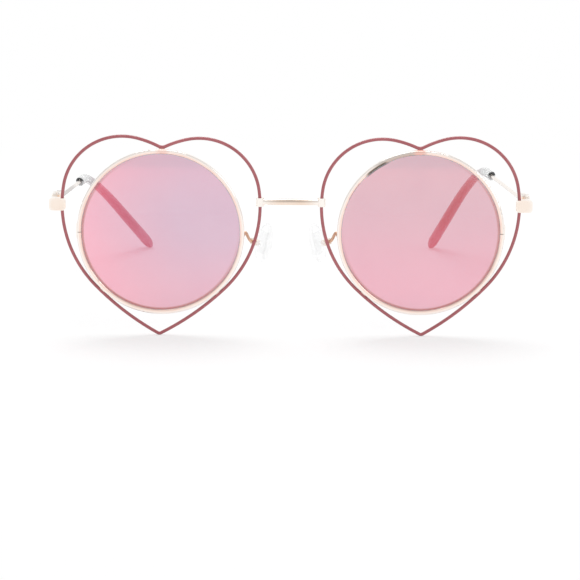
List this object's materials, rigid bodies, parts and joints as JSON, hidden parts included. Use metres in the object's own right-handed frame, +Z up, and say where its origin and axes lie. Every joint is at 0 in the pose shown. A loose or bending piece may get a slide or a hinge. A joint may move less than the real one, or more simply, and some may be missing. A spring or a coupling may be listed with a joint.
{
  "type": "heart shaped sunglasses",
  "caption": "Round sunglasses with heart outlines of wire around the lenses, adjustable nose pads and folding wire temples with curved ear sleeves.",
  "frame": {"origin": "on the table, under the middle of the whole with its temples open", "axes": "+Z up, the lenses face -Y, the temples run back along +Y, +X is the wearer's left"},
  "size_m": [0.1452, 0.1374, 0.0615],
  "materials": {
    "enamelled_wire": "gloss coral enamel",
    "gold_plating": "polished pale gold plating",
    "mirror_lens": "pink mirror coating on a tinted lens",
    "screw_steel": "turned steel with a flash of gold",
    "pad_silicone": "clear satin silicone",
    "insert_plastic": "clear moulded core",
    "sleeve_acetate": "clear smoky acetate"
  },
  "bodies": {
    "front": {"heart_wire_left": "enamelled_wire", "heart_wire_right": "enamelled_wire", "rim_left": "gold_plating", "rim_right": "gold_plating", "bridge": "gold_plating", "end_piece_left": "gold_plating", "end_piece_right": "gold_plating", "braze_joints": "gold_plating", "pad_arm_left": "gold_plating", "pad_arm_right": "gold_plating", "pad_box_left": "gold_plating", "pad_box_right": "gold_plating", "lens_left": "mirror_lens", "lens_right": "mirror_lens", "rim_screws": "screw_steel", "hinge_screws": "screw_steel", "pad_screws": "screw_steel"},
    "temple_left": {"temple_left": "gold_plating", "sleeve_left": "sleeve_acetate"},
    "temple_right": {"temple_right": "gold_plating", "sleeve_right": "sleeve_acetate"},
    "pad_left": {"nose_pad_left": "pad_silicone", "pad_insert_left": "insert_plastic"},
    "pad_right": {"nose_pad_right": "pad_silicone", "pad_insert_right": "insert_plastic"}
  },
  "joints": [
    {"name": "fold_left", "type": "hinge", "parent": "front", "child": "temple_left", "pos_m": [0.07115, -0.05976, 0.04043], "axis": [0, 0, 1], "range_deg": [0, 83]},
    {"name": "fold_right", "type": "hinge", "parent": "front", "child": "temple_right", "pos_m": [-0.07115, -0.05976, 0.04043], "axis": [0, 0, -1], "range_deg": [0, 79]},
    {"name": "rock_left", "type": "hinge", "parent": "front", "child": "pad_left", "pos_m": [0.01055, -0.0605, 0.02783], "axis": [-0.5589, -0.8192, -0.129], "range_deg": [-12, 12]},
    {"name": "rock_right", "type": "hinge", "parent": "front", "child": "pad_right", "pos_m": [-0.01055, -0.0605, 0.02783], "axis": [0.5589, -0.8192, -0.129], "range_deg": [-12, 12]}
  ]
}
